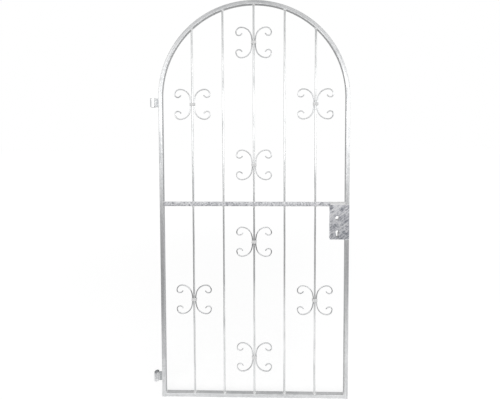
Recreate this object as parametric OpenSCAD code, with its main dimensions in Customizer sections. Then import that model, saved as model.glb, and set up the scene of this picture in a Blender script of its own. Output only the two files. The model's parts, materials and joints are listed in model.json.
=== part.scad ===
// Arched garden gate leaf, galvanised steel, all sizes in millimetres.
// The origin is on the hinge axis, on the underside of the lower hinge eye.
// X runs across the leaf to the lock side, Y runs to the back, Z points up.

/* [Frame] */
// Width of the leaf over the two stiles
leaf_w = 960; // [860:10:1060]
// Height of the stiles, from their feet to the start of the arch
stile_h = 1545; // [1445:5:1645]
// Side of the square frame tube
tube = 20; // [20:1:24]
// Wall of the frame tube
tube_wall = 2; // [1.5:0.5:2.5]
// Outer corner radius of the frame tube
tube_corner = 3; // [3:0.5:4]
// Height of the mid rail's top face above the feet of the stiles
mid_rail_top = 1018; // [978:2:1058]

/* [Bars] */
// Diameter of the upright round bars
bar_d = 10; // [8:1:12]

/* [Scrolls] */
// Diameter of the round rod the scrolls are bent from
rod_d = 6; // [5:0.5:7]
// Straight part of a scroll's back, from its middle to the first bend
scroll_flat = 20.5; // [14:0.5:26]
// Radius of the wide bend that leaves the bar, on the line of the rod
sweep_r = 54.5; // [48:0.5:58]
// Radius from the crown of a scroll to its far side, on the line of the rod
crown_r = 26; // [23:0.5:29]
// Radius of the curl under the far side, on the line of the rod
curl_r = 14; // [12:0.5:17]
// Radius of the open tip inside the curl
tip_r = 18; // [16:0.5:21]
// Turn of the open tip, in degrees
tip_turn = 70; // [45:1:75]
// Middle of a scroll pair above the rail at its foot
foot_clear = 189; // [170:1:210]
// Middle of a scroll pair below the rail or arch at its head
head_clear = 185; // [170:1:210]

/* [Collars] */
// Height of the collar round a bar and its two scrolls
collar_h = 12; // [8:1:16]
// Thickness of the collar strip
collar_t = 2; // [1.5:0.5:3]
// Room inside the collar, on each side
collar_gap = 0.2; // [0.1:0.1:0.3]

/* [Hinge eyes] */
// Outer diameter of the hinge eyes
eye_od = 27; // [26:1:32]
// Bore of the hinge eyes, for a 20 mm pin
eye_bore = 20.5; // [16.5:0.5:21]
// Length of a hinge eye along the pin
eye_h = 44; // [36:1:50]
// Hinge axis to the outer face of the stile
hinge_offset = 30; // [24:1:40]
// Underside of the lower eye above the feet of the stiles
lower_eye_seat = 82; // [60:1:140]
// Top of the upper eye below the start of the arch
upper_eye_drop = 1; // [0:1:120]
// Thickness of the tail plate between eye and stile
tail_t = 8; // [6:1:10]
// Step from the ends of an eye to its tail plate
tail_step = 1; // [0:0.5:4]

/* [Lock case] */
// Width of the lock case
lock_w = 96; // [90:1:110]
// Height of the lock case
lock_h = 178; // [170:1:190]
// How far the lock case is let into the mid rail
lock_let = 10; // [6:1:12]
// Sheet thickness of the lock case
lock_sheet = 2; // [1.5:0.5:3]
// Outer edge of the lock case to the middle of its holes
backset = 60; // [50:1:65]
// Diameter of the handle spindle hole
spindle_d = 21; // [18:0.5:24]
// Middle of the spindle hole above the middle of the cylinder hole
hole_pitch = 72; // [70:1:74]
// Middle of the cylinder hole above the foot of the lock case
cylinder_up = 37.5; // [34:0.5:45]
// Diameter of the round end of the cylinder hole
cylinder_d = 18; // [17:0.5:19]
// Width of the tail of the cylinder hole
cylinder_tail_w = 11; // [10:0.5:12]
// Height of the whole cylinder hole
cylinder_hole_h = 35; // [33:0.5:37]

/* [Hidden] */
$fn = 96;
steel = [0.70, 0.72, 0.73];
plate_steel = [0.62, 0.63, 0.66];
arch_r = leaf_w / 2;
arch_in = arch_r - tube;
inner_w = leaf_w - 2 * tube;
// The clear gaps between the bars and beside the stiles are all alike.
bar_pitch = (inner_w - 5 * bar_d) / 6 + bar_d;
mid_rail_foot = mid_rail_top - tube;
crown_foot = stile_h + arch_in;
lock_top = mid_rail_foot + lock_let;
lock_foot = lock_top - lock_h;
lock_in = leaf_w / 2 - lock_w;
hole_x = leaf_w / 2 - backset;
cylinder_z = lock_foot + cylinder_up;
spindle_z = cylinder_z + hole_pitch;
hinge_x = -leaf_w / 2 - hinge_offset;
upper_eye_seat = stile_h - upper_eye_drop - eye_h;

// Heights of the middles of the scroll pairs.
top_z = crown_foot - head_clear;
upper_foot_z = mid_rail_top + foot_clear;
upper_side_z = (top_z + upper_foot_z) / 2;
lower_head_z = mid_rail_foot - head_clear;
lower_foot_z = tube + foot_clear;
lower_side_z = (lower_head_z + lower_foot_z) / 2;

// Middles of the bends of a scroll, so that each runs smoothly into the next.
back_x = bar_d / 2 + rod_d / 2;
sweep_x = back_x + sweep_r;
crown_z = scroll_flat + sweep_r - crown_r;
curl_x = sweep_x + crown_r - curl_r;
tip_z = crown_z - curl_r + tip_r;

// Moves a piece from the middle of the leaf's foot to the hinge axis.
module placed() {
  translate([-hinge_x, 0, -lower_eye_seat]) children();
}

// A square with round corners, drawn about its middle.
module soft_square(w, h, r) {
  square([w - 2 * r, h], center = true);
  square([w, h - 2 * r], center = true);
  for (sx = [-1, 1]) {
    for (sy = [-1, 1]) {
      translate([sx * (w / 2 - r), sy * (h / 2 - r)]) circle(r = r);
    }
  }
}

// The section of the frame tube.
module tube_section() {
  difference() {
    soft_square(tube, tube, tube_corner);
    soft_square(tube - 2 * tube_wall, tube - 2 * tube_wall, tube_corner - tube_wall);
  }
}

// An upright length of frame tube.
module upright_tube(x, z0, z1) {
  translate([x, 0, z0]) linear_extrude(height = z1 - z0) tube_section();
}

// A level length of frame tube, its foot at height z.
module level_tube(x0, x1, z) {
  translate([x0, 0, z + tube / 2]) rotate([0, 90, 0]) {
    linear_extrude(height = x1 - x0) tube_section();
  }
}

module arch() {
  color(steel) placed() translate([0, 0, stile_h]) rotate([90, 0, 0]) {
    rotate_extrude(angle = 180) translate([arch_r - tube / 2, 0]) tube_section();
  }
}

module left_stile() {
  color(steel) placed() upright_tube(-leaf_w / 2 + tube / 2, 0, stile_h);
}

// The lock case takes the place of a length of the right stile.
module right_stile_upper() {
  color(steel) placed() upright_tube(leaf_w / 2 - tube / 2, lock_top, stile_h);
}

module right_stile_lower() {
  color(steel) placed() upright_tube(leaf_w / 2 - tube / 2, 0, lock_foot);
}

module bottom_rail() {
  color(steel) placed() level_tube(-inner_w / 2, inner_w / 2, 0);
}

module mid_rail() {
  color(steel) placed() level_tube(-inner_w / 2, lock_in, mid_rail_foot);
}

// Over the lock case only the upper part of the mid rail is left.
module mid_rail_over_lock() {
  color(steel) placed() difference() {
    level_tube(lock_in, inner_w / 2, mid_rail_foot);
    translate([lock_in - 1, -tube, mid_rail_foot - 1]) cube([lock_w, 2 * tube, lock_let + 1]);
  }
}

// A bar of the upper field, its top cut to the curve of the arch.
module upper_bar(i) {
  x = (i - 3) * bar_pitch;
  color(steel) placed() difference() {
    translate([x, 0, mid_rail_top]) cylinder(d = bar_d, h = crown_foot - mid_rail_top);
    difference() {
      translate([-arch_r, -tube, stile_h]) cube([2 * arch_r, 2 * tube, arch_r]);
      translate([0, 0, stile_h]) rotate([90, 0, 0]) {
        cylinder(r = arch_in, h = 4 * tube, center = true, $fn = 360);
      }
    }
  }
}

// A bar of the lower field, between the two rails.
module lower_bar(i) {
  x = (i - 3) * bar_pitch;
  color(steel) placed() translate([x, 0, tube]) cylinder(d = bar_d, h = mid_rail_foot - tube);
}

module upper_bar_1() { upper_bar(1); }
module upper_bar_2() { upper_bar(2); }
module upper_bar_3() { upper_bar(3); }
module upper_bar_4() { upper_bar(4); }
module upper_bar_5() { upper_bar(5); }
module lower_bar_1() { lower_bar(1); }
module lower_bar_2() { lower_bar(2); }
module lower_bar_3() { lower_bar(3); }
module lower_bar_4() { lower_bar(4); }
module lower_bar_5() { lower_bar(5); }

// A bend of the rod about the point x, z, from the angle a through the turn t.
module bend(x, z, r, a, t) {
  translate([x, 0, z]) rotate([90, 0, 0]) rotate([0, 0, a]) {
    rotate_extrude(angle = t) translate([r, 0]) circle(d = rod_d, $fn = 32);
  }
}

// Wide bend, crown, curl and open tip at one end of a scroll.
module scroll_end() {
  bend(sweep_x, scroll_flat, sweep_r, 90, 90);
  bend(sweep_x, crown_z, crown_r, 0, 90);
  bend(curl_x, crown_z, curl_r, -90, 90);
  translate([curl_x, 0, 0]) mirror([1, 0, 0]) bend(0, tip_z, tip_r, -90, tip_turn);
}

// One scroll: a straight back with the same curl at both ends.
module scroll() {
  translate([back_x, 0, -scroll_flat]) cylinder(d = rod_d, h = 2 * scroll_flat, $fn = 32);
  scroll_end();
  mirror([0, 0, 1]) scroll_end();
}

// Two scrolls back to back on a bar.
module scroll_pair(i, z) {
  color(steel) placed() translate([(i - 3) * bar_pitch, 0, z]) {
    scroll();
    mirror([1, 0, 0]) scroll();
  }
}

// The collar that holds a scroll pair to its bar.
module collar(i, z) {
  in_w = bar_d + 2 * rod_d + 2 * collar_gap;
  in_d = bar_d + 2 * collar_gap;
  color(steel) placed() translate([(i - 3) * bar_pitch, 0, z - collar_h / 2]) {
    linear_extrude(height = collar_h) difference() {
      soft_square(in_w + 2 * collar_t, in_d + 2 * collar_t, collar_t);
      square([in_w, in_d], center = true);
    }
  }
}

module scrolls_top() { scroll_pair(3, top_z); }
module scrolls_upper_left() { scroll_pair(1, upper_side_z); }
module scrolls_upper_right() { scroll_pair(5, upper_side_z); }
module scrolls_upper_foot() { scroll_pair(3, upper_foot_z); }
module scrolls_lower_head() { scroll_pair(3, lower_head_z); }
module scrolls_lower_left() { scroll_pair(1, lower_side_z); }
module scrolls_lower_right() { scroll_pair(5, lower_side_z); }
module scrolls_lower_foot() { scroll_pair(3, lower_foot_z); }

module collar_top() { collar(3, top_z); }
module collar_upper_left() { collar(1, upper_side_z); }
module collar_upper_right() { collar(5, upper_side_z); }
module collar_upper_foot() { collar(3, upper_foot_z); }
module collar_lower_head() { collar(3, lower_head_z); }
module collar_lower_left() { collar(1, lower_side_z); }
module collar_lower_right() { collar(5, lower_side_z); }
module collar_lower_foot() { collar(3, lower_foot_z); }

// A hinge eye, open at both ends for the pin.
module hinge_eye(seat) {
  color(steel) placed() translate([hinge_x, 0, seat]) difference() {
    cylinder(d = eye_od, h = eye_h);
    translate([0, 0, -1]) cylinder(d = eye_bore, h = eye_h + 2);
  }
}

// The short plate from a hinge eye to the stile.
module hinge_tail(seat) {
  color(steel) placed() difference() {
    translate([hinge_x, -tail_t / 2, seat + tail_step]) {
      cube([hinge_offset, tail_t, eye_h - 2 * tail_step]);
    }
    translate([hinge_x, 0, seat - 1]) cylinder(d = eye_od, h = eye_h + 2);
  }
}

module hinge_eye_upper() { hinge_eye(upper_eye_seat); }
module hinge_eye_lower() { hinge_eye(lower_eye_seat); }
module hinge_tail_upper() { hinge_tail(upper_eye_seat); }
module hinge_tail_lower() { hinge_tail(lower_eye_seat); }

// A face plate of the lock case, with the spindle and cylinder holes.
module lock_face(y) {
  color(plate_steel) placed() difference() {
    translate([lock_in, y, lock_foot]) cube([lock_w, lock_sheet, lock_h]);
    translate([hole_x, y - 1, spindle_z]) rotate([-90, 0, 0]) {
      cylinder(d = spindle_d, h = lock_sheet + 2);
    }
    translate([hole_x, y - 1, cylinder_z]) rotate([-90, 0, 0]) {
      cylinder(d = cylinder_d, h = lock_sheet + 2);
    }
    translate([hole_x, y - 1, cylinder_z + cylinder_d / 2 - cylinder_hole_h + cylinder_tail_w / 2]) {
      rotate([-90, 0, 0]) cylinder(d = cylinder_tail_w, h = lock_sheet + 2);
      translate([-cylinder_tail_w / 2, 0, 0]) {
        cube([cylinder_tail_w, lock_sheet + 2, cylinder_hole_h - cylinder_d / 2 - cylinder_tail_w / 2]);
      }
    }
  }
}

module lock_front_plate() { lock_face(-tube / 2); }
module lock_back_plate() { lock_face(tube / 2 - lock_sheet); }

module lock_side_plate() {
  color(plate_steel) placed() translate([lock_in, -tube / 2 + lock_sheet, lock_foot]) {
    cube([lock_sheet, tube - 2 * lock_sheet, lock_h]);
  }
}

// The sheet that closes the lock case at height z.
module lock_end(z) {
  color(plate_steel) placed() translate([lock_in + lock_sheet, -tube / 2 + lock_sheet, z]) {
    cube([lock_w - lock_sheet, tube - 2 * lock_sheet, lock_sheet]);
  }
}

module lock_head_plate() { lock_end(lock_top - lock_sheet); }
module lock_foot_plate() { lock_end(lock_foot); }

arch();
left_stile();
right_stile_upper();
right_stile_lower();
bottom_rail();
mid_rail();
mid_rail_over_lock();
upper_bar_1();
upper_bar_2();
upper_bar_3();
upper_bar_4();
upper_bar_5();
lower_bar_1();
lower_bar_2();
lower_bar_3();
lower_bar_4();
lower_bar_5();
scrolls_top();
scrolls_upper_left();
scrolls_upper_right();
scrolls_upper_foot();
scrolls_lower_head();
scrolls_lower_left();
scrolls_lower_right();
scrolls_lower_foot();
collar_top();
collar_upper_left();
collar_upper_right();
collar_upper_foot();
collar_lower_head();
collar_lower_left();
collar_lower_right();
collar_lower_foot();
hinge_eye_upper();
hinge_eye_lower();
hinge_tail_upper();
hinge_tail_lower();
lock_front_plate();
lock_back_plate();
lock_side_plate();
lock_head_plate();
lock_foot_plate();
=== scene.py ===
# %% [markdown]
# This lesson dresses an arched garden gate leaf of hot-dip galvanised steel. The packed
# model gives the frame: places and leading sizes are read from its boxes and mounts, so the
# looks stay where the solids are. The leaf is dipped in molten zinc after it is welded, and
# that one bath gives the whole gate its pale, mottled skin.

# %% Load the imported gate
import json
import math

import bmesh
import bpy
from mathutils import Matrix, Vector


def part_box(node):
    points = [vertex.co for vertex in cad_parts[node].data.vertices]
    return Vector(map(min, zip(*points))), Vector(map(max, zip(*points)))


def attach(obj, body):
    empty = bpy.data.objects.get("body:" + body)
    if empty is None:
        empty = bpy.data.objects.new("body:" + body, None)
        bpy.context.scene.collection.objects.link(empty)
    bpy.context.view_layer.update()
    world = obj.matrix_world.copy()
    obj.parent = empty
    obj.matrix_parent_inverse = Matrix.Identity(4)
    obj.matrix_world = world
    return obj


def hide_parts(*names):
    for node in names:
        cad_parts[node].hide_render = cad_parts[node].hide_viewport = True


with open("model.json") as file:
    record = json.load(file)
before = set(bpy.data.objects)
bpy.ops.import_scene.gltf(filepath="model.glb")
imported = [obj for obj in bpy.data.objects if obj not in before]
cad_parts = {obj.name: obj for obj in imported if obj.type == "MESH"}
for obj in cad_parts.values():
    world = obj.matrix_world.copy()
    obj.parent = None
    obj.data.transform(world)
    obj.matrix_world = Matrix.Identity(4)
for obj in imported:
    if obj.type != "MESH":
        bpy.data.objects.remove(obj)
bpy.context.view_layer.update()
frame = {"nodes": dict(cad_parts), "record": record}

MM = 0.001
mount_place = {m["name"]: Vector(m["pos_m"]) for m in frame["record"]["mounts"]}
mount_size = {m["name"]: m["dims"] for m in frame["record"]["mounts"]}

# %% [markdown]
# The leading lines of the frame come first. The stiles, rails and arch are all one square
# tube, so the middle line of each run of tube is enough to build it again.

# %% Read the leading sizes of the leaf
stile_low, stile_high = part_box("left_stile")
arch_low, arch_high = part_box("arch")
TUBE = stile_high.x - stile_low.x
FOOT = stile_low.z
SPRING = stile_high.z
MIDDLE = (arch_low.x + arch_high.x) / 2
ARCH_LINE = (arch_high.x - arch_low.x) / 2 - TUBE / 2
ARCH_INSIDE = ARCH_LINE - TUBE / 2
print("tube %.1f mm, arch line %.1f mm, spring %.3f m" % (TUBE / MM, ARCH_LINE / MM, SPRING))

# %% [markdown]
# A few small helpers serve the whole file. One turns a colour as a painter writes it, in
# sRGB hex, to the linear values that the shader counts with. One adds a node with its
# settings and feeds its sockets with values or with other nodes. The others put an object in
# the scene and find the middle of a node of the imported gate.

# %% Helpers for colours, nodes and objects
def linear(hex_colour):
    """An sRGB hex colour as linear red, green, blue and alpha."""
    parts = [int(hex_colour[i:i + 2], 16) / 255 for i in (1, 3, 5)]
    return [p / 12.92 if p <= 0.04045 else ((p + 0.055) / 1.055) ** 2.4 for p in parts] + [1.0]


def add_node(tree, kind, feeds=None, **settings):
    """Adds one node: settings are its own properties, feeds go to its sockets.

    A feed is a value, another node's output, or a node, which stands for its first output.
    """
    node = tree.nodes.new(kind)
    for name, value in settings.items():
        setattr(node, name, value)
    for socket, value in (feeds or {}).items():
        if isinstance(value, bpy.types.Node):
            value = value.outputs[0]
        if isinstance(value, bpy.types.NodeSocket):
            tree.links.new(value, node.inputs[socket])
        else:
            node.inputs[socket].default_value = value
    return node


def new_object(name, data):
    """An object for the data, at the origin."""
    thing = bpy.data.objects.new(name, data)
    bpy.context.scene.collection.objects.link(thing)
    return thing


def middle_of(node):
    """The middle of a node's box."""
    low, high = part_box(node)
    return (low + high) / 2


# %% [markdown]
# The camera stands about 1.4 m in front of the leaf and a little below the spring of the
# arch, and looks slightly down. Its place, turn and lens come from a fit of the leaf's
# edges to the picture of 500 by 400 pixels.

# %% Camera
LEAF_FOOT = Vector((MIDDLE, 0, FOOT))
PICTURE_WIDE, PICTURE_HIGH = 500, 400
SENSOR_MM = 36
camera_place = LEAF_FOOT + Vector((0.040, -1.400, 1.335))
turn, nod, tilt = 0.0167, -0.0328, 0.0022
lens_px, centre_px = 277.12, (257.19, 148.74)

look = Matrix.Rotation(turn, 3, "Z") @ Matrix.Rotation(nod, 3, "X")
look = look @ Matrix.Rotation(tilt, 3, "Y")
right, ahead, up = look.col[0], look.col[1], look.col[2]
camera_data = bpy.data.cameras.new("gate_camera")
camera_data.sensor_width = SENSOR_MM
camera_data.lens = lens_px * SENSOR_MM / PICTURE_WIDE
camera_data.shift_x = (PICTURE_WIDE / 2 - centre_px[0]) / PICTURE_WIDE
camera_data.shift_y = (centre_px[1] - PICTURE_HIGH / 2) / PICTURE_WIDE
camera = new_object("gate_camera", camera_data)
camera.matrix_world = Matrix.LocRotScale(
    camera_place, Matrix((right, up, -ahead)).transposed().to_quaternion(), None)
bpy.context.scene.camera = camera
bpy.context.scene.view_settings.view_transform = "Standard"
shift = camera_data.shift_x, camera_data.shift_y
print("lens %.2f mm, shift %.3f %.3f" % (camera_data.lens, *shift))

# %% [markdown]
# Bare metal shows what stands around it, so the room matters as much as the lamps. The
# backdrop behind the gate is white, for the camera and in reflections alike. On the camera's
# side the walls are white, the ceiling is grey, which the crown of the arch shows, and the
# wall on the left is a little darker. One large soft box behind the camera and two at the
# sides, the left one weak, put the pale sheen on the upper half of the leaf.

# %% World and lamps
WHITE, FILL = 1.0, 0.48
CEILING, LEFT_WALL = 0.5, 0.6
SIDE_BOX_UP = 1.75


def ray_kinds(tree):
    """Two outputs: rays from the camera, and these together with mirrored and bent rays."""
    rays = add_node(tree, "ShaderNodeLightPath").outputs
    seen = add_node(tree, "ShaderNodeMath", {0: rays["Is Camera Ray"], 1: rays["Is Glossy Ray"]},
                    operation="MAXIMUM")
    seen = add_node(tree, "ShaderNodeMath", {0: seen, 1: rays["Is Transmission Ray"]},
                    operation="MAXIMUM")
    return rays["Is Camera Ray"], seen.outputs[0]


def soft_box(name, place, aim, width, height, radiance):
    """A rectangular soft box; its place and the point it faces are seen from the leaf's foot."""
    place, aim = LEAF_FOOT + Vector(place), LEAF_FOOT + Vector(aim)
    data = bpy.data.lights.new(name, "AREA")
    data.shape = "RECTANGLE"
    data.size, data.size_y = width, height
    data.energy = radiance * math.pi * width * height
    lamp = new_object(name, data)
    lamp.location = place
    lamp.rotation_euler = (aim - place).to_track_quat("-Z", "Y").to_euler()
    lamp.visible_camera = False


world = bpy.data.worlds.new("white_studio")
bpy.context.scene.world = world
world.use_nodes = True
# the light depends on the kind of ray, so the world isn't sampled as a lamp
world.cycles.sampling_method = "NONE"
tree = world.node_tree
tree.nodes.clear()
from_camera, seen = ray_kinds(tree)
fill = add_node(tree, "ShaderNodeBackground", {"Color": linear("#ffffff"), "Strength": FILL})
toward = add_node(tree, "ShaderNodeTexCoord").outputs["Generated"]
toward = add_node(tree, "ShaderNodeSeparateXYZ", {0: toward}).outputs
ceiling = add_node(tree, "ShaderNodeMapRange", {
    "Value": toward["Z"], "From Min": 0.1, "From Max": 0.5, "To Min": WHITE, "To Max": CEILING,
}, interpolation_type="SMOOTHSTEP")
backdrop = add_node(tree, "ShaderNodeMapRange", {
    "Value": toward["Y"], "From Min": -0.3, "From Max": 0.1}, interpolation_type="SMOOTHSTEP")
left_wall = add_node(tree, "ShaderNodeMapRange", {
    "Value": toward["X"], "From Min": -0.65, "From Max": -0.92,
    "To Min": WHITE, "To Max": LEFT_WALL}, interpolation_type="SMOOTHSTEP")
room = add_node(tree, "ShaderNodeMix", {"Factor": backdrop, 2: ceiling, 3: WHITE})
room = add_node(tree, "ShaderNodeMath", {0: room, 1: left_wall}, operation="MULTIPLY")
room = add_node(tree, "ShaderNodeMath", {0: room, 1: from_camera}, operation="MAXIMUM")
shown = add_node(tree, "ShaderNodeBackground", {"Color": linear("#ffffff"), "Strength": room})
mixed = add_node(tree, "ShaderNodeMixShader", {0: seen, 1: fill, 2: shown})
add_node(tree, "ShaderNodeOutputWorld", {"Surface": mixed})

soft_box("front_soft_box", (0.3, -2.6, 1.6), (0.3, 0, 1.6), width=4.6, height=1.7, radiance=1.65)
for name, across, radiance in (("left_soft_box", -2.6, 0.2), ("right_soft_box", 2.6, 0.7)):
    soft_box(name, (across, -0.7, SIDE_BOX_UP), (0, 0, SIDE_BOX_UP),
             width=2.2, height=1.4, radiance=radiance)
print("world and soft boxes ready")

# %% [markdown]
# The floor is a plain white sheet. Part of that white is its own, for the camera and in
# reflections, more so far from the lamps, so the background stays even and a shadow still
# shows on it. The sheet ends in front of the leaf, where the picture doesn't reach, and the
# darker floor there is what the lower half of the zinc shows.

# %% Floor
FLOOR_SIZE, FAR = 60, 4.0
OWN_NEAR, OWN_FAR = 0.46, 0.60
PAPER, DARK_FLOOR = 0.85, 0.22

bpy.ops.mesh.primitive_plane_add(size=FLOOR_SIZE, location=LEAF_FOOT)
floor = bpy.context.object
floor.name = "floor"
floor_paint = bpy.data.materials.new("white_paper_sweep")
floor_paint.use_nodes = True
floor_paint.cycles.emission_sampling = "NONE"
tree = floor_paint.node_tree
tree.nodes.clear()
from_camera, seen = ray_kinds(tree)
spot = add_node(tree, "ShaderNodeTexCoord").outputs["Object"]
# how white the floor is: dark in front of the leaf, white close under it and behind it
beside = add_node(tree, "ShaderNodeMapping", {
    "Vector": spot, "Location": (-0.22, 0, 0), "Scale": (0.75, 1.0, 1.0)})
beside = add_node(tree, "ShaderNodeVectorMath", {0: beside}, operation="LENGTH").outputs["Value"]
under = add_node(tree, "ShaderNodeMapRange", {
    "Value": beside, "From Min": 1.05, "From Max": 0.65}, interpolation_type="SMOOTHSTEP")
near = add_node(tree, "ShaderNodeMapRange", {
    "Value": under, "To Min": DARK_FLOOR, "To Max": WHITE})
back = add_node(tree, "ShaderNodeSeparateXYZ", {0: spot}).outputs["Y"]
behind = add_node(tree, "ShaderNodeMapRange", {
    "Value": back, "From Min": -0.03, "From Max": 0.12}, interpolation_type="SMOOTHSTEP")
tone = add_node(tree, "ShaderNodeMix", {"Factor": behind, 2: near, 3: WHITE})
tone = add_node(tree, "ShaderNodeMath", {0: tone, 1: from_camera}, operation="MAXIMUM")
# its own part of the white, and the part that the lamps light
away = add_node(tree, "ShaderNodeVectorMath", {0: spot}, operation="LENGTH").outputs["Value"]
own = add_node(tree, "ShaderNodeMapRange", {
    "Value": away, "From Max": FAR, "To Min": OWN_NEAR, "To Max": OWN_FAR})
for factor in (seen, tone):
    own = add_node(tree, "ShaderNodeMath", {0: own, 1: factor}, operation="MULTIPLY")
lit = add_node(tree, "ShaderNodeMath", {0: tone, 1: PAPER}, operation="MULTIPLY")
glow = add_node(tree, "ShaderNodeEmission", {"Color": linear("#ffffff"), "Strength": own})
paper = add_node(tree, "ShaderNodeBsdfDiffuse", {"Color": lit})
both = add_node(tree, "ShaderNodeAddShader", {0: glow, 1: paper})
add_node(tree, "ShaderNodeOutputMaterial", {"Surface": both})
floor.data.materials.append(floor_paint)
print("floor at z = %.3f" % FOOT)

# %% [markdown]
# Hot-dip zinc freezes on the steel in crystals, the spangle, and it runs and drags as the
# gate is drawn from the bath. The eye sees three things: small crystal patches that are
# lighter or darker, longer streaks along each bar or tube, and broad dull and bright areas.
# All three are mixed into one tone, which picks a colour between a dark, a middle and a
# light zinc. The streaks read the attribute "run", which every tube, bar, scroll and weld
# carries: metres along it, metres round it, and a number of its own. On the frame, the faces
# that look into the opening are given a duller skin and a colour a tenth darker, which is
# painted shade. They stay an even grey where the bare front mirrors the room, and that draws
# the dark inner line of the frame.

# %% Zinc
GRAIN, GRAIN_DEPTH = 7 * MM, 0.3 * MM


def hot_dip_zinc(name, dark, middle, light, spangle_mm, streak_mm, patch_mm, rough, weights,
                 bare=(0.3, 0.7), fine=3.0, turned=0.0, dull_and_shaded_inside=False):
    """Galvanised steel: crystals, streaks and dull patches.

    turned gives streaks across a plain sheet instead of along a swept piece;
    the last flag dulls the faces that look into the opening and darkens them a tenth, which is
    painted shade.
    """
    zinc = bpy.data.materials.new(name)
    zinc.use_nodes = True
    tree = zinc.node_tree
    tree.nodes.clear()
    at = add_node(tree, "ShaderNodeTexCoord").outputs["Object"]
    # crystals of the spangle, each with its own grey
    crystal = add_node(tree, "ShaderNodeTexVoronoi", {
        "Vector": at, "Scale": 1 / (spangle_mm * MM), "Randomness": 1.0}).outputs["Color"]
    grey = add_node(tree, "ShaderNodeSeparateColor", {0: crystal})
    # streaks drawn out along the piece
    per_length, per_width = [1 / (size * MM) for size in streak_mm]
    if turned:
        along = add_node(tree, "ShaderNodeMapping", {"Vector": at, "Rotation": (0, turned, 0)})
        stretch = (per_length, per_width, per_width)
    else:
        along = add_node(tree, "ShaderNodeAttribute", attribute_name="run").outputs["Vector"]
        stretch = (per_length, per_width, 1.0)
    drawn = add_node(tree, "ShaderNodeMapping", {"Vector": along, "Scale": stretch})
    streak = add_node(tree, "ShaderNodeTexNoise", {
        "Vector": drawn, "Scale": 1.0, "Detail": fine, "Roughness": 0.55,
        "Distortion": 0.2 * fine})
    # broad dull and bright areas
    patch = add_node(tree, "ShaderNodeTexNoise", {
        "Vector": at, "Scale": 1 / (patch_mm * MM), "Detail": 2.0})
    # each part swings about the middle of the tone by its weight
    total = 0.5
    for part, weight in zip((grey, streak, patch), weights):
        share = add_node(tree, "ShaderNodeMath", {0: part, 1: -0.5}, operation="ADD")
        share = add_node(tree, "ShaderNodeMath", {0: share, 1: weight}, operation="MULTIPLY")
        total = add_node(tree, "ShaderNodeMath", {0: total, 1: share}, operation="ADD")
    colour = add_node(tree, "ShaderNodeValToRGB", {"Fac": total})
    stops = colour.color_ramp.elements
    stops[0].position, stops[0].color = 0.05, linear(dark)
    stops[1].position, stops[1].color = 0.95, linear(light)
    stops.new(0.5).color = linear(middle)
    # duller crystals wear a skin of zinc salts, which hides the metal and scatters more
    metal_share = add_node(tree, "ShaderNodeMapRange", {
        "Value": total, "To Min": bare[0], "To Max": bare[1]})
    gloss = add_node(tree, "ShaderNodeMapRange", {
        "Value": total, "To Min": rough[1], "To Max": rough[0]})
    if dull_and_shaded_inside:
        # the nearest point on the upright middle line of the opening
        level = add_node(tree, "ShaderNodeSeparateXYZ", {0: at}).outputs["Z"]
        level = add_node(tree, "ShaderNodeClamp", {
            "Value": level, "Min": FOOT + ARCH_LINE, "Max": SPRING})
        spine = add_node(tree, "ShaderNodeCombineXYZ", {"X": MIDDLE, "Z": level})
        inward = add_node(tree, "ShaderNodeVectorMath", {0: spine, 1: at}, operation="SUBTRACT")
        inward = add_node(tree, "ShaderNodeVectorMath", {0: inward}, operation="NORMALIZE")
        normal = add_node(tree, "ShaderNodeTexCoord").outputs["Normal"]
        facing = add_node(tree, "ShaderNodeVectorMath", {0: normal, 1: inward},
                          operation="DOT_PRODUCT").outputs["Value"]
        # less metal and more roughness dull these faces; the last factor darkens their colour,
        # which is painted shade
        less_metal, rougher, painted_shade = [
            add_node(tree, "ShaderNodeMapRange", {
                "Value": facing, "From Min": 0.4, "From Max": 0.7, "To Min": 1.0, "To Max": factor})
            for factor in (0.1, 1.7, 0.9)]
        metal_share = add_node(tree, "ShaderNodeMath", {0: metal_share, 1: less_metal},
                               operation="MULTIPLY")
        gloss = add_node(tree, "ShaderNodeMath", {0: gloss, 1: rougher}, operation="MULTIPLY")
        colour = add_node(tree, "ShaderNodeVectorMath", {0: colour, "Scale": painted_shade},
                          operation="SCALE")
    grain = add_node(tree, "ShaderNodeTexNoise", {
        "Vector": at, "Scale": 1 / GRAIN, "Detail": 3.0})
    skin = add_node(tree, "ShaderNodeBump", {
        "Strength": 0.2, "Distance": GRAIN_DEPTH, "Height": grain})
    metal = add_node(tree, "ShaderNodeBsdfPrincipled", {
        "Base Color": colour, "Metallic": metal_share, "Roughness": gloss, "Normal": skin})
    add_node(tree, "ShaderNodeOutputMaterial", {"Surface": metal})
    return zinc


# frame tube: an even pale grey with long, faint streaks, and painted shade on the faces that look
# into the opening
tube_zinc = hot_dip_zinc(
    "hot_dip_zinc_on_frame_tube", "#a9abad", "#d8d9da", "#f0f0f1",
    spangle_mm=9, streak_mm=(150, 7), patch_mm=160, rough=(0.30, 0.44),
    weights=(0.15, 0.7, 0.35), bare=(0.5, 0.9), fine=1.0, dull_and_shaded_inside=True)
# mid rail: short blotches, where the zinc froze fast
rail_zinc = hot_dip_zinc(
    "hot_dip_zinc_on_mid_rail", "#999aa0", "#dadbde", "#f5f5f7",
    spangle_mm=7, streak_mm=(14, 6), patch_mm=120, rough=(0.34, 0.52), weights=(0.7, 1.4, 0.5))
# round bars: nearly bare zinc, which mirrors the room along each bar
bar_zinc = hot_dip_zinc(
    "hot_dip_zinc_on_round_bar", "#aeb0b1", "#e3e4e4", "#f6f6f6",
    spangle_mm=8, streak_mm=(110, 12), patch_mm=140, rough=(0.26, 0.42),
    weights=(0.05, 0.9, 0.5), bare=(0.8, 1.0), fine=0.5)
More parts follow.
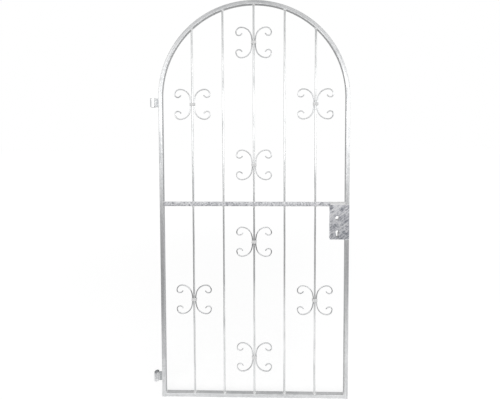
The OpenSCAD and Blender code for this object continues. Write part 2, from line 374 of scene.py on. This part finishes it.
# scroll rods: drawn thin, so the zinc is smoother and mirrors most
scroll_zinc = hot_dip_zinc(
    "hot_dip_zinc_on_scroll_rod", "#9ea0a1", "#cacbcc", "#e3e3e4",
    spangle_mm=8, streak_mm=(110, 12), patch_mm=140, rough=(0.10, 0.24),
    weights=(0.05, 0.9, 0.5), bare=(0.95, 1.0), fine=0.5)
# lock case: strong slanting streaks, light on dark, as the sheet drained
sheet_zinc = hot_dip_zinc(
    "hot_dip_zinc_on_lock_sheet", "#878a92", "#d2d3d8", "#f9f9fb",
    spangle_mm=9, streak_mm=(70, 8), patch_mm=45, rough=(0.30, 0.50),
    weights=(0.5, 2.2, 1.6), turned=math.radians(35))
# hinge eyes: bright bare zinc on thick tube
hinge_zinc = hot_dip_zinc(
    "hot_dip_zinc_on_hinge_eye", "#96989b", "#d6d7d8", "#f3f3f4",
    spangle_mm=8, streak_mm=(60, 8), patch_mm=40, rough=(0.16, 0.28),
    weights=(0.3, 0.9, 0.5), bare=(0.85, 1.0), turned=math.radians(90))
# hinge plates: the same, but duller, and darker as painted shade for their place behind the eye and
# the stile
dull_shaded_plate_zinc = hot_dip_zinc(
    "hot_dip_zinc_with_painted_shade_on_hinge_plate", "#8a8d90", "#b4b6b8", "#d9dadb",
    spangle_mm=8, streak_mm=(60, 8), patch_mm=40, rough=(0.26, 0.40),
    weights=(0.3, 0.9, 0.5), bare=(0.4, 0.7), turned=math.radians(90))
# weld beads: zinc that lies thick and bright
weld_zinc = hot_dip_zinc(
    "rough_zinc_on_weld", "#d6d7d7", "#efefef", "#fafafa",
    spangle_mm=5, streak_mm=(12, 4), patch_mm=30, rough=(0.22, 0.38),
    weights=(0.3, 0.8, 0.3), bare=(0.4, 0.8))
# collars and the zinc in them: the dull white of zinc ash; inside the lock case the same white is
# painted light, and on the strip over the lock a painted highlight
ash_white_and_painted_light_zinc = hot_dip_zinc(
    "ash_white_zinc_with_painted_light", "#dcdddd", "#f2f2f2", "#fbfbfb",
    spangle_mm=5, streak_mm=(12, 4), patch_mm=30, rough=(0.5, 0.7),
    weights=(0.3, 0.8, 0.3), bare=(0.0, 0.15))
print("zinc finishes:", [m.name for m in bpy.data.materials if "zinc" in m.name])

# %% [markdown]
# Every swept piece goes through the same two steps. A carrier mesh holds nothing but lines
# or points, and a Geometry Nodes tree on it makes the metal. Then the result is taken as a
# plain mesh, so the piece that rides on the gate has no modifier left on it.

# %% Helpers for swept pieces
def new_tree(name, sizes):
    """A Geometry Nodes tree with geometry in and out, and the named sizes as its inputs."""
    tree = bpy.data.node_groups.new(name, "GeometryNodeTree")
    tree.interface.new_socket("Geometry", in_out="INPUT", socket_type="NodeSocketGeometry")
    kinds = {float: "NodeSocketFloat", int: "NodeSocketInt"}
    for label, value in sizes.items():
        kind = kinds.get(type(value), "NodeSocketMaterial")
        socket = tree.interface.new_socket(label, in_out="INPUT", socket_type=kind)
        if value is not None:
            socket.default_value = value
    tree.interface.new_socket("Geometry", in_out="OUTPUT", socket_type="NodeSocketGeometry")
    return tree


def lines_mesh(name, lines, closed=False):
    """A mesh of edges: each line is a list of points."""
    points, edges = [], []
    for line in lines:
        first = len(points)
        points += [tuple(p) for p in line]
        edges += [(first + i, first + i + 1) for i in range(len(line) - 1)]
        if closed:
            edges.append((first + len(line) - 1, first))
    mesh = bpy.data.meshes.new(name + "_lines")
    mesh.from_pydata(points, edges, [])
    return mesh


def plain_mesh(piece):
    """The mesh of a piece with its modifiers worked out."""
    worked_out = piece.evaluated_get(bpy.context.evaluated_depsgraph_get())
    return bpy.data.meshes.new_from_object(worked_out)


def even_normals(piece):
    """Lets the flat faces keep their own direction, so that only the corners shade round."""
    piece.modifiers.new("even normals", "WEIGHTED_NORMAL").keep_sharp = True
    mesh = plain_mesh(piece)
    piece.modifiers.clear()
    piece.data = mesh
    mesh.name = piece.name


def grow(name, carrier, tree, sizes):
    """Runs the tree on the carrier and returns the result as a plain piece at the origin."""
    holder = new_object(name + "_carrier", carrier)
    modifier = holder.modifiers.new("tree", "NODES")
    modifier.node_group = tree
    for item in tree.interface.items_tree:
        if item.in_out == "INPUT" and item.name in sizes:
            modifier[item.identifier] = sizes[item.name]
    mesh = plain_mesh(holder)
    mesh.name = name
    bpy.data.objects.remove(holder)
    return new_object(name, mesh)


def fit_to_gate(piece, slot, *nodes):
    """The piece rides on the leaf and stands for the nodes, whose parts are hidden; the slot is not
    used.
    """
    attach(piece, "root")
    if nodes:
        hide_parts(*nodes)
    print("%-22s %6d faces" % (piece.name, len(piece.data.polygons)))


# %% [markdown]
# The trees share four stretches. The lines of a carrier become curves with even steps. A
# section is swept along a curve, and the attribute "run" is stored on the skin. The skin
# wavers by a tenth of a millimetre, as zinc does, so that long reflections are never quite
# straight. At the end the skin is shaded smooth, made real and given its finish.

# %% Stretches that the trees share
def even_line(tree, given):
    """The lines of the carrier as curves with a point at every step."""
    line = add_node(tree, "GeometryNodeMeshToCurve", {"Mesh": given["Geometry"]})
    return add_node(tree, "GeometryNodeResampleCurve", {"Curve": line, "Length": given["Step"]},
                    mode="LENGTH")


def sweep(tree, line, section, own, feeds):
    """Sweeps a section along a line and stores "run": along, round and a number of its own."""
    length = add_node(tree, "GeometryNodeSplineParameter").outputs["Length"]
    marks = {}
    for name, curve in (("along", line), ("around", section)):
        marks[name] = add_node(tree, "GeometryNodeCaptureAttribute", {"Geometry": curve})
        marks[name].capture_items.new("FLOAT", name)
        tree.links.new(length, marks[name].inputs[name])
    swept = add_node(tree, "GeometryNodeCurveToMesh", {
        "Curve": marks["along"], "Profile Curve": marks["around"], **feeds})
    run = add_node(tree, "ShaderNodeCombineXYZ", {
        "X": marks["along"].outputs["along"], "Y": marks["around"].outputs["around"], "Z": own})
    return add_node(tree, "GeometryNodeStoreNamedAttribute", {
        "Geometry": swept, "Name": "run", "Value": run}, data_type="FLOAT_VECTOR", domain="POINT")


def waver(tree, skin, per_metre, size):
    """Pushes the skin in and out along its normal, by at most half the size."""
    push = add_node(tree, "ShaderNodeTexNoise", {"Scale": per_metre, "Detail": 1.0})
    push = add_node(tree, "ShaderNodeMath", {0: push, 1: -0.5}, operation="ADD")
    push = add_node(tree, "ShaderNodeMath", {0: push, 1: size}, operation="MULTIPLY")
    normal = add_node(tree, "GeometryNodeInputNormal")
    push = add_node(tree, "ShaderNodeVectorMath", {0: normal, "Scale": push}, operation="SCALE")
    return add_node(tree, "GeometryNodeSetPosition", {"Geometry": skin, "Offset": push})


def end_tree(tree, skin, finish):
    """The common end of a tree: smooth, real and finished."""
    smooth = add_node(tree, "GeometryNodeSetShadeSmooth", {"Geometry": skin})
    whole = add_node(tree, "GeometryNodeRealizeInstances", {"Geometry": smooth})
    dressed = add_node(tree, "GeometryNodeSetMaterial", {"Geometry": whole, "Material": finish})
    add_node(tree, "NodeGroupOutput", {"Geometry": dressed})
    print("tree:", tree.name, len(tree.nodes), "nodes")
    return tree


# %% [markdown]
# The frame tube is a rolled square section with rounded corners. A square curve with its
# corners rounded is swept along each middle line, once for the outside and once, turned
# inside out, for the bore.

# %% Tree for the frame tube
def tube_tree():
    """Square tube along each line of the carrier."""
    tree = new_tree("frame_tube", {"Side": 0.02, "Corner": 0.003, "Wall": 0.002, "Step": 0.012,
                                   "Unevenness": 0.0, "Piece": 0.0, "Finish": None})
    given = add_node(tree, "NodeGroupInput").outputs
    line = even_line(tree, given)
    twice = add_node(tree, "ShaderNodeMath", {0: given["Wall"], 1: 2.0}, operation="MULTIPLY")
    bore = add_node(tree, "ShaderNodeMath", {0: given["Side"], 1: twice}, operation="SUBTRACT")
    bore_corner = add_node(tree, "ShaderNodeMath", {0: given["Corner"], 1: given["Wall"]},
                           operation="SUBTRACT")
    walls = add_node(tree, "GeometryNodeJoinGeometry")
    for side, corner in ((given["Side"], given["Corner"]), (bore, bore_corner)):
        square = add_node(tree, "GeometryNodeCurvePrimitiveQuadrilateral", {
            "Width": side, "Height": side})
        section = add_node(tree, "GeometryNodeFilletCurve", {
            "Curve": square, "Count": 5, "Radius": corner}, mode="POLY")
        wall = sweep(tree, line, section, given["Piece"], {})
        if side is bore:
            wall = add_node(tree, "GeometryNodeFlipFaces", {"Mesh": wall})
        tree.links.new(wall.outputs[0], walls.inputs[0])
    skin = waver(tree, walls, per_metre=14.0, size=given["Unevenness"])
    return end_tree(tree, skin, given["Finish"])


def close_ends(mesh):
    """Joins the outer and inner wall at each open end of a tube with a ring of faces."""
    work = bmesh.new()
    work.from_mesh(mesh)
    rims = [e for e in work.edges if e.is_boundary]
    loops = []
    while rims:
        loop, front = set(), {rims[0]}
        while front:
            loop |= front
            touching = {e for f in front for v in f.verts for e in v.link_edges}
            front = {e for e in touching if e.is_boundary} - loop
        rims = [e for e in rims if e not in loop]
        middle = sum((v.co for e in loop for v in e.verts), Vector()) / (2 * len(loop))
        loops.append((middle, list(loop)))
    while loops:
        middle, loop = loops.pop()
        near = min(loops, key=lambda other: (other[0] - middle).length)
        loops.remove(near)
        for edge in loop + near[1]:
            edge.smooth = False
        bmesh.ops.bridge_loops(work, edges=loop + near[1])
    work.to_mesh(mesh)
    work.free()


frame_tube = tube_tree()

# %% [markdown]
# The two stiles and the arch look like one tube bent into a hoop, so they are swept in one
# go: up on the left, round, and down to the lock case on the right. The lower end of the
# right stile and the two rails are straight runs, and the mid rail stops at the case.

# %% Frame tube
def run_of(node, axis):
    """The middle line of a straight tube node along its long axis."""
    low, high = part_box(node)
    start, end = middle_of(node), middle_of(node)
    start[axis], end[axis] = low[axis], high[axis]
    return [start, end]


CORNER, WALL = 3 * MM, 2 * MM
half_turn = [math.pi * (1 - i / 180) for i in range(181)]
bend = [Vector((MIDDLE + ARCH_LINE * math.cos(a), 0, SPRING + ARCH_LINE * math.sin(a)))
        for a in half_turn]
tube_lines = {
    "hoop": run_of("left_stile", 2)[:1] + bend + run_of("right_stile_upper", 2)[:1],
    "right_stile_lower": run_of("right_stile_lower", 2),
    "bottom_rail": run_of("bottom_rail", 0),
    "mid_rail": run_of("mid_rail", 0),
}
hoop_nodes = ["left_stile", "arch", "right_stile_upper"]
for number, (node, line) in enumerate(tube_lines.items()):
    # each run gets a number of its own, so that no two have the same streaks
    sizes = {"Side": TUBE, "Corner": CORNER, "Wall": WALL, "Step": 8 * MM,
             "Unevenness": 0.25 * MM, "Piece": 3.7 * number,
             "Finish": rail_zinc if node == "mid_rail" else tube_zinc}
    piece = grow("tube_" + node, lines_mesh(node, [line]), frame_tube, sizes)
    close_ends(piece.data)
    even_normals(piece)
    fit_to_gate(piece, "galvanised_tube", *hoop_nodes if node == "hoop" else [node])

# %% [markdown]
# The bars are plain round rod. One tree stands a line on each foot point, stretches it to
# its own height and sweeps a circle along it. The upper bars run into the inside of the
# arch, so their heights come from the circle of the arch.

# %% Tree for the round bars
def bar_tree():
    """A round bar on each point of the carrier, as tall as the point's attribute "height"."""
    tree = new_tree("round_bars", {"Diameter": 0.01, "Step": 0.012, "Unevenness": 0.0,
                                   "Finish": None})
    given = add_node(tree, "NodeGroupInput").outputs
    height = add_node(tree, "GeometryNodeInputNamedAttribute", {"Name": "height"},
                      data_type="FLOAT")
    unit = add_node(tree, "GeometryNodeCurvePrimitiveLine", {"Start": (0, 0, 0), "End": (0, 0, 1)})
    stretch = add_node(tree, "ShaderNodeCombineXYZ", {"X": 1.0, "Y": 1.0, "Z": height})
    placed = add_node(tree, "GeometryNodeInstanceOnPoints", {
        "Points": given["Geometry"], "Instance": unit, "Scale": stretch})
    line = add_node(tree, "GeometryNodeRealizeInstances", {"Geometry": placed})
    line = add_node(tree, "GeometryNodeResampleCurve", {"Curve": line, "Length": given["Step"]},
                    mode="LENGTH")
    radius = add_node(tree, "ShaderNodeMath", {0: given["Diameter"], 1: 0.5}, operation="MULTIPLY")
    ring = add_node(tree, "GeometryNodeCurvePrimitiveCircle", {"Resolution": 24, "Radius": radius})
    # each bar's own number comes from its place across the leaf
    place = add_node(tree, "GeometryNodeInputPosition")
    own = add_node(tree, "ShaderNodeSeparateXYZ", {0: place}).outputs["X"]
    own = add_node(tree, "ShaderNodeMath", {0: own, 1: 20.0}, operation="MULTIPLY")
    own = add_node(tree, "ShaderNodeMath", {0: own}, operation="ROUND")
    own = add_node(tree, "ShaderNodeMath", {0: own, 1: 1.3}, operation="MULTIPLY")
    bars = sweep(tree, line, ring, own, {"Fill Caps": True})
    skin = waver(tree, bars, per_metre=25.0, size=given["Unevenness"])
    return end_tree(tree, skin, given["Finish"])


round_bars = bar_tree()

# %% Upper and lower bars
BAR_NUMBERS = range(1, 6)
bar_ends = [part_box("lower_bar_%d" % i) for i in BAR_NUMBERS]
BAR = bar_ends[0][1].x - bar_ends[0][0].x
bar_x = [(low.x + high.x) / 2 for low, high in bar_ends]
for field in ("upper", "lower"):
    nodes = ["%s_bar_%d" % (field, i) for i in BAR_NUMBERS]
    feet, heights = [], []
    for node, x in zip(nodes, bar_x):
        low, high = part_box(node)
        top = high.z
        if field == "upper":
            # a little past the skin of the arch, so that no gap shows
            edge = abs(x - MIDDLE) - BAR / 2
            top = SPRING + math.sqrt(ARCH_INSIDE ** 2 - edge ** 2) + 0.5 * MM
        feet.append((x, 0, low.z))
        heights.append(top - low.z)
    carrier = lines_mesh(field + "_bars", [[f] for f in feet])
    carrier.attributes.new("height", "FLOAT", "POINT").data.foreach_set("value", heights)
    sizes = {"Diameter": BAR, "Step": 9 * MM, "Unevenness": 0.2 * MM, "Finish": bar_zinc}
    fit_to_gate(grow(field + "_bars", carrier, round_bars, sizes), "galvanised_bar", *nodes)

# %% [markdown]
# A scroll is one rod, bent cold round formers: a slack back that leaves the bar slowly, a
# wide sweep, a crown, a tight curl and an open tip. The line is drawn once, from arcs that
# run smoothly into each other, and is set on both sides of the bar at each of the eight
# places. The rod narrows in its last millimetres to a rounded tip.

# %% Line of one scroll
ROD, REACH, RISE = 6 * MM, 54.5 * MM, 75 * MM
# the radius of each bend, and the degrees that the slack back turns through
BACK, CROWN, CURL, TIP = 150 * MM, 26 * MM, 14 * MM, 18 * MM
LEAN = 14
back_x = BAR / 2 + ROD / 2
lean = math.radians(LEAN)
SWEEP = (REACH - BACK * (1 - math.cos(lean))) / math.cos(lean)


def arc(x, z, radius, start, end, count):
    """Points on an arc about x, z, angles in degrees."""
    angles = [math.radians(start + (end - start) * i / count) for i in range(1, count + 1)]
    return [Vector((x + radius * math.cos(a), 0, z + radius * math.sin(a))) for a in angles]


sweep_x, crown_z = back_x + REACH, RISE - CROWN
curl_x, tip_z = sweep_x + CROWN - CURL, crown_z - CURL + TIP
upper_half = [Vector((back_x, 0, 0))]
upper_half += arc(back_x + BACK, 0, BACK, 180, 180 - LEAN, 6)
upper_half += arc(sweep_x, RISE - SWEEP, SWEEP, 180 - LEAN, 90, 22)
upper_half += arc(sweep_x, crown_z, CROWN, 90, 0, 16)
upper_half += arc(curl_x, crown_z, CURL, 0, -90, 14)
upper_half += arc(curl_x, tip_z, TIP, -90, -160, 12)
scroll_line = [Vector((p.x, 0, -p.z)) for p in reversed(upper_half[1:])] + upper_half
pair_wide = 2 * max(p.x for p in scroll_line) / MM
print("scroll line of %d points, pair %.0f mm wide" % (len(scroll_line), pair_wide))

# %% Tree for the scrolls
def scroll_tree():
    """Round rod along each line of the carrier, with the line's number from "own"."""
    tree = new_tree("bent_rod", {"Diameter": 0.006, "Step": 0.002, "Tip": 0.003, "Finish": None})
    given = add_node(tree, "NodeGroupInput").outputs
    line = even_line(tree, given)
    # the rod is round at its two ends, over the length Tip
    length = add_node(tree, "GeometryNodeSplineParameter").outputs["Length"]
    whole = add_node(tree, "GeometryNodeSplineLength").outputs["Length"]
    near = add_node(tree, "ShaderNodeMath", {0: whole, 1: length}, operation="SUBTRACT")
    near = add_node(tree, "ShaderNodeMath", {0: near, 1: length}, operation="MINIMUM")
    near = add_node(tree, "ShaderNodeMath", {0: near, 1: given["Tip"]}, operation="DIVIDE",
                    use_clamp=True)
    taper = add_node(tree, "ShaderNodeMath", {0: 1.0, 1: near}, operation="SUBTRACT")
    taper = add_node(tree, "ShaderNodeMath", {0: taper, 1: 2.0}, operation="POWER")
    taper = add_node(tree, "ShaderNodeMath", {0: 1.0001, 1: taper}, operation="SUBTRACT")
    taper = add_node(tree, "ShaderNodeMath", {0: taper, 1: 0.5}, operation="POWER")
    radius = add_node(tree, "ShaderNodeMath", {0: given["Diameter"], 1: 0.5}, operation="MULTIPLY")
    ring = add_node(tree, "GeometryNodeCurvePrimitiveCircle", {"Resolution": 14, "Radius": radius})
    own = add_node(tree, "GeometryNodeInputNamedAttribute", {"Name": "own"}, data_type="FLOAT")
    rod = sweep(tree, line, ring, own, {"Fill Caps": True, "Scale": taper})
    return end_tree(tree, rod, given["Finish"])


bent_rod = scroll_tree()

# %% Scroll pairs
scroll_nodes = sorted(n for n in frame["nodes"] if n.startswith("scrolls_"))
for number, node in enumerate(scroll_nodes):
    middle = middle_of(node)
    pair = [[middle + Vector((side * p.x, 0, p.z)) for p in scroll_line] for side in (1, -1)]
    carrier = lines_mesh(node, pair)
    # the two rods of a pair get numbers of their own
    own = [2.3 * number + 0.9 * side for side in (0, 1) for p in scroll_line]
    carrier.attributes.new("own", "FLOAT", "POINT").data.foreach_set("value", own)
    sizes = {"Diameter": ROD, "Step": 1.2 * MM, "Tip": 2.8 * MM, "Finish": scroll_zinc}
    fit_to_gate(grow(node + "_rod", carrier, bent_rod, sizes), "galvanised_scroll", node)

# %% [markdown]
# Each scroll pair is held to its bar by a collar, a strip bent into a flat ring, and each
# hinge has an eye, a short piece of thick tube. Both are a rounded strip swept round a
# closed line, so one tree makes them: a rounded rectangle for the collar, and a rectangle
# with corners as large as they can be, which is a circle, for the eye.

# %% Tree for closed bands
def band_tree():
    """A closed band round each point of the carrier."""
    tree = new_tree("closed_band", {
        "Width": 0.02, "Depth": 0.01, "Turn": 0.001, "Corner Steps": 4, "Thickness": 0.002,
        "Height": 0.012, "Edge": 0.0004, "Finish": None})
    given = add_node(tree, "NodeGroupInput").outputs
    ring = add_node(tree, "GeometryNodeCurvePrimitiveQuadrilateral", {
        "Width": given["Width"], "Height": given["Depth"]})
    ring = add_node(tree, "GeometryNodeFilletCurve", {
        "Curve": ring, "Count": given["Corner Steps"], "Radius": given["Turn"],
        "Limit Radius": True}, mode="POLY")
    strip = add_node(tree, "GeometryNodeCurvePrimitiveQuadrilateral", {
        "Width": given["Thickness"], "Height": given["Height"]})
    strip = add_node(tree, "GeometryNodeFilletCurve", {
        "Curve": strip, "Count": 3, "Radius": given["Edge"]}, mode="POLY")
    band = add_node(tree, "GeometryNodeCurveToMesh", {"Curve": ring, "Profile Curve": strip})
    placed = add_node(tree, "GeometryNodeInstanceOnPoints", {
        "Points": given["Geometry"], "Instance": band})
    return end_tree(tree, placed, given["Finish"])


closed_band = band_tree()

# %% Collars and hinge eyes
COLLAR = 2 * MM
collar_nodes = sorted(n for n in frame["nodes"] if n.startswith("collar_"))
low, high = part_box(collar_nodes[0])
collar_sizes = {
    "Width": high.x - low.x - COLLAR, "Depth": high.y - low.y - COLLAR, "Turn": 1.6 * MM,
    "Corner Steps": 5, "Thickness": COLLAR, "Height": high.z - low.z, "Edge": 0.6 * MM,
    "Finish": ash_white_and_painted_light_zinc}
eye_nodes = ["hinge_eye_lower", "hinge_eye_upper"]
low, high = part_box("hinge_eye_lower")
bore = 2 * mount_size["lower_hinge_bore"]["r_mm"] * MM
wall = (high.x - low.x - bore) / 2
eye_sizes = {
    "Width": bore + wall, "Depth": bore + wall, "Turn": (bore + wall) / 2, "Corner Steps": 14,
    "Thickness": wall, "Height": high.z - low.z, "Edge": 0.8 * MM, "Finish": hinge_zinc}
for name, nodes, slot, sizes in (("collars", collar_nodes, "galvanised_scroll", collar_sizes),
                                 ("hinge_eyes", eye_nodes, "galvanised_hinge", eye_sizes)):
    bands = grow(name, lines_mesh(name, [[middle_of(n)] for n in nodes]), closed_band, sizes)
    even_normals(bands)
    fit_to_gate(bands, slot, *nodes)

# %% [markdown]
# The lock case is folded from sheet and let into the frame: a shallow box, open at the edge
# of the gate, with a round hole for the handle and a keyhole-shaped one for the cylinder.
# Here it is cut from a block: a box, hollowed, then both holes through both faces, and the
# edges softened.

# %% Solid blocks and cutters
def solid_piece(name, work):
    """The bmesh as a piece at the origin."""
    mesh = bpy.data.meshes.new(name)
    work.to_mesh(mesh)
    work.free()
    return new_object(name, mesh)


def block(name, low, high):
    """A box from its lowest to its highest corner."""
    work = bmesh.new()
    bmesh.ops.create_cube(work, size=1.0)
    for v in work.verts:
        v.co = Vector([low[i] + (v.co[i] + 0.5) * (high[i] - low[i]) for i in range(3)])
    return solid_piece(name, work)


def prism(name, outline, axis, start, end):
    """A closed outline of two-number points, drawn out along an axis from start to end."""
    work = bmesh.new()
    others = [i for i in range(3) if i != axis]
    rings = []
    for level in (start, end):
        ring = []
        for a, b in outline:
            place = [0.0, 0.0, 0.0]
            place[axis], place[others[0]], place[others[1]] = level, a, b
            ring.append(work.verts.new(place))
        rings.append(ring)
    for i in range(len(outline)):
        j = (i + 1) % len(outline)
        work.faces.new((rings[0][i], rings[0][j], rings[1][j], rings[1][i]))
    work.faces.new(rings[0])
    work.faces.new(rings[1])
    bmesh.ops.recalc_face_normals(work, faces=work.faces)
    return solid_piece(name, work)


def finish_solid(piece, cutters, finish, edge, steps=2):
    """Cuts the piece, softens its edges and leaves a plain mesh."""
    for cutter in cutters:
        cut = piece.modifiers.new("cut", "BOOLEAN")
        cut.operation, cut.solver, cut.object = "DIFFERENCE", "EXACT", cutter
    soft = piece.modifiers.new("edge", "BEVEL")
    soft.width, soft.segments = edge, steps
    soft.limit_method, soft.angle_limit = "ANGLE", math.radians(40)
    piece.data.polygons.foreach_set("use_smooth", [True] * len(piece.data.polygons))
    even_normals(piece)
    piece.data.materials.clear()
    piece.data.materials.append(finish)
    for cutter in cutters:
        bpy.data.objects.remove(cutter)
    return piece


# %% Lock case
PAST, SOFT = 10 * MM, 0.3 * MM
TAIL, KEYHOLE = 11 * MM, 35 * MM
case_low, front_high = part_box("lock_front_plate")
case_high = Vector((front_high.x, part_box("lock_back_plate")[1].y, front_high.z))
SHEET = front_high.y - case_low.y
room_low = case_low + Vector((SHEET, SHEET, SHEET))
room_high = Vector((case_high.x + PAST, case_high.y - SHEET, case_high.z - SHEET))
handle, key = mount_place["spindle_hole"], mount_place["cylinder_bore"]
handle_r = mount_size["spindle_hole"]["r_mm"] * MM
key_r = mount_size["cylinder_bore"]["r_mm"] * MM
full_turn = [2 * math.pi * i / 48 for i in range(48)]
round_hole = [(handle.x + handle_r * math.cos(a), handle.z + handle_r * math.sin(a))
              for a in full_turn]
# the keyhole: a round head, and a tail with a round end
tail_z = key.z + key_r - KEYHOLE + TAIL / 2
neck = math.asin(TAIL / 2 / key_r)
head_turn = [-math.pi / 2 + neck + (2 * math.pi - 2 * neck) * i / 36 for i in range(37)]
tail_turn = [math.pi + math.pi * i / 16 for i in range(17)]
key_hole = [(key.x + key_r * math.cos(a), key.z + key_r * math.sin(a)) for a in head_turn]
key_hole += [(key.x + TAIL / 2 * math.cos(a), tail_z + TAIL / 2 * math.sin(a)) for a in tail_turn]
cutters = [block("room", room_low, room_high)]
for name, outline in (("handle_hole", round_hole), ("key_hole", key_hole)):
    cutters.append(prism(name, outline, 1, case_low.y - PAST, case_high.y + PAST))
lock_case = finish_solid(block("lock_case", case_low, case_high), cutters, sheet_zinc, SOFT)
# inside, the case takes the ash-white finish, which is painted light for the inside seen through
# the holes
lock_case.data.materials.append(ash_white_and_painted_light_zinc)
near = 0.1 * MM
for face in lock_case.data.polygons:
    inside = [room_low[i] - near < face.center[i] < room_high[i] + near for i in range(3)]
    face.material_index = int(all(inside) and face.center.x < case_high.x - SOFT - near)
fit_to_gate(lock_case, "galvanised_sheet", "lock_front_plate", "lock_back_plate", "lock_side_plate",
            "lock_head_plate", "lock_foot_plate")

# %% [markdown]
# Over the lock case the mid rail keeps only its upper part, and each hinge eye is carried by
# a short flat plate. Both are cut from simple sections with soft edges.

# %% Rail over the lock and hinge plates
low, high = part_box("mid_rail_over_lock")
turns = [math.pi * i / 20 for i in range(11)]
top_line = [(high.y - CORNER + CORNER * math.cos(a), high.z - CORNER + CORNER * math.sin(a))
            for a in turns]
top_line += [(-y, z) for y, z in reversed(top_line)]
outline = [(high.y, low.z)] + top_line + [(low.y, low.z)]
strip = prism("mid_rail_over_lock_strip", outline, 0, low.x, high.x)
# the strip takes the ash-white finish, a painted highlight for the bright band over the lock case
finish_solid(strip, [], ash_white_and_painted_light_zinc, SOFT)
fit_to_gate(strip, "galvanised_tube", "mid_rail_over_lock")
for end in ("upper", "lower"):
    low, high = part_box("hinge_tail_" + end)
    # the plate runs on a little into the wall of the eye
    inner = Vector((low.x - 1.5 * MM, low.y, low.z))
    plate = finish_solid(block("hinge_plate_" + end, inner, high), [], dull_shaded_plate_zinc, 0.8 * MM)
    fit_to_gate(plate, "galvanised_hinge", "hinge_tail_" + end)

# %% [markdown]
# The bath also leaves its zinc inside each collar, between the bar and the two rods, where
# it can't run off. A plug with soft edges stands for it, heaped a little past the collar.

# %% Zinc in the collars
HEAP = 2.5 * MM
work = bmesh.new()
for node in collar_nodes:
    low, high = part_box(node)
    plug = high - low - Vector((2 * COLLAR, 2 * COLLAR, -2 * HEAP))
    bmesh.ops.create_cube(work, size=1.0, matrix=Matrix.LocRotScale(middle_of(node), None, plug))
plugs = solid_piece("zinc_in_collars", work)
fit_to_gate(finish_solid(plugs, [], ash_white_and_painted_light_zinc, 2.4 * MM, 4), "galvanised_scroll")

# %% [markdown]
# Every joint of the gate is a weld, and the zinc lies thick and bright on it. A weld bead
# follows a seam: a ring at the end of each bar, short lines at the corners of the frame, the
# lock case and the hinge plates. One tree sweeps a round section along all of them and lets
# it swell and shrink, as a bead laid by hand does.

# %% Tree for weld beads
def bead_tree():
    """A bead along each line of the carrier."""
    tree = new_tree("weld_bead", {"Radius": 0.0024, "Step": 0.0012, "Ripple": 0.18, "Seed": 1.0,
                                  "Finish": None})
    given = add_node(tree, "NodeGroupInput").outputs
    line = even_line(tree, given)
    place = add_node(tree, "GeometryNodeInputPosition")
    swell = add_node(tree, "ShaderNodeTexNoise", {
        "Vector": place, "W": given["Seed"], "Scale": 260.0, "Detail": 2.0}, noise_dimensions="4D")
    swell = add_node(tree, "ShaderNodeMath", {0: swell, 1: -0.5}, operation="ADD")
    swell = add_node(tree, "ShaderNodeMath", {0: swell, 1: given["Ripple"]}, operation="MULTIPLY")
    swell = add_node(tree, "ShaderNodeMath", {0: swell, 1: 4.0, 2: 1.0}, operation="MULTIPLY_ADD")
    ring = add_node(tree, "GeometryNodeCurvePrimitiveCircle", {
        "Resolution": 10, "Radius": given["Radius"]})
    bead = sweep(tree, line, ring, given["Seed"], {"Fill Caps": True, "Scale": swell})
    return end_tree(tree, bead, given["Finish"])


def lay_beads(name, seams, slot, radius_mm, step_mm, ripple, seed, closed=False):
    """Lays a bead along each seam and fits the beads to the gate."""
    sizes = {"Radius": radius_mm * MM, "Step": step_mm * MM, "Ripple": ripple, "Seed": seed,
             "Finish": weld_zinc}
    fit_to_gate(grow(name, lines_mesh(name, seams, closed), weld_bead, sizes), slot)


weld_bead = bead_tree()

# %% Seams at the bar ends
rail_low, rail_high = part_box("mid_rail")
foot_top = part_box("bottom_rail")[1].z
bar_turn = [2 * math.pi * i / 24 for i in range(24)]
ring_r = BAR / 2 + 0.4 * MM
bar_seams = []
for x in bar_x:
    spots = [(x + ring_r * math.cos(a), ring_r * math.sin(a)) for a in bar_turn]
    for level in (foot_top, rail_low.z, rail_high.z):
        bar_seams.append([Vector((sx, sy, level)) for sx, sy in spots])
    bar_seams.append([Vector((sx, sy, SPRING + math.sqrt(ARCH_INSIDE ** 2 - (sx - MIDDLE) ** 2)))
                      for sx, sy in spots])
lay_beads("welds_on_bars", bar_seams, "galvanised_bar",
          radius_mm=3.2, step_mm=1.5, ripple=0.2, seed=3.0, closed=True)

# %% Seams of the frame, the lock case and the hinges
INSET = 1 * MM
front, back = -TUBE / 2, TUBE / 2
inner_left, inner_right = stile_high.x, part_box("right_stile_lower")[0].x
strip_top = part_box("mid_rail_over_lock")[1].z


def seam_through(x, z):
    """A seam from the front of the tube to its back."""
    return [Vector((x, front + INSET, z)), Vector((x, back - INSET, z))]


corners = [(inner_left, foot_top), (inner_right, foot_top), (inner_left, rail_low.z),
           (inner_left, rail_high.z), (inner_right, strip_top)]
frame_seams = [seam_through(x, z) for x, z in corners]
lay_beads("welds_on_frame", frame_seams, "galvanised_tube",
          radius_mm=3.2, step_mm=1.5, ripple=0.15, seed=5.0)

lock_seams = []
for y in (front, back):
    for start, z in ((case_low.x + INSET, case_high.z), (inner_right, case_low.z)):
        lock_seams.append([Vector((start, y, z)), Vector((case_high.x - INSET, y, z))])
lock_seams += [seam_through(inner_right, case_low.z), seam_through(case_low.x, rail_low.z)]
lay_beads("welds_on_lock_case", lock_seams, "galvanised_sheet",
          radius_mm=1.6, step_mm=1.2, ripple=0.2, seed=7.0)

hinge_seams = []
for end in ("upper", "lower"):
    low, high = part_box("hinge_tail_" + end)
    start, stop = low.z + 2 * INSET, high.z - 2 * INSET
    for y in (low.y, high.y):
        for x in (low.x + 0.6 * MM, high.x):
            hinge_seams.append([Vector((x, y, start)), Vector((x, y, stop))])
lay_beads("welds_on_hinges", hinge_seams, "galvanised_hinge",
          radius_mm=1.4, step_mm=1.5, ripple=0.1, seed=9.0)
